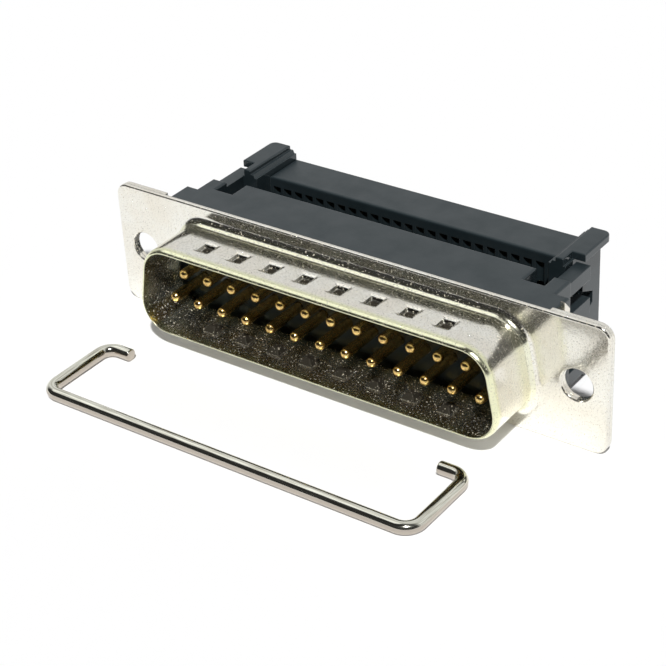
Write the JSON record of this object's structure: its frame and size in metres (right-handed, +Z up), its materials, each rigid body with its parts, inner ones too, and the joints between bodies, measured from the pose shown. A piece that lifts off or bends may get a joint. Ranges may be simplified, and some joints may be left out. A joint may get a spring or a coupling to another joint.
{
  "type": "d-sub connector",
  "caption": "D-shaped pin connector for ribbon cable: plated shell with screw flange and end brackets, moulded insulator, press-on cover standing open and a loose wire bail.",
  "frame": {"origin": "middle of the flange's front face, between the two screw holes", "axes": "+X along the connector, +Y from the mating side to the cable side, +Z up, narrow side of the D up"},
  "size_m": [0.053, 0.0331, 0.0126],
  "materials": {
    "plated_shell": "bright tin plate",
    "moulding": "satin moulded",
    "gold_contact": "gold flash over brass",
    "bail_wire": "drawn wire"
  },
  "bodies": {
    "connector": {"front_shell": "plated_shell", "end_bracket_right": "plated_shell", "end_bracket_left": "plated_shell", "insulator": "moulding", "wire_bail": "bail_wire", "contact_01": "gold_contact", "contact_02": "gold_contact", "contact_03": "gold_contact", "contact_04": "gold_contact", "contact_05": "gold_contact", "contact_06": "gold_contact", "contact_07": "gold_contact", "contact_08": "gold_contact", "contact_09": "gold_contact", "contact_10": "gold_contact", "contact_11": "gold_contact", "contact_12": "gold_contact", "contact_13": "gold_contact", "contact_14": "gold_contact", "contact_15": "gold_contact", "contact_16": "gold_contact", "contact_17": "gold_contact", "contact_18": "gold_contact", "contact_19": "gold_contact", "contact_20": "gold_contact", "contact_21": "gold_contact", "contact_22": "gold_contact", "contact_23": "gold_contact", "contact_24": "gold_contact", "contact_25": "gold_contact"},
    "cover": {"cover": "moulding"}
  },
  "joints": [
    {"name": "cover_press", "type": "slide", "parent": "connector", "child": "cover", "axis": [0, -1, 0], "range_m": [0, 0.003]}
  ]
}
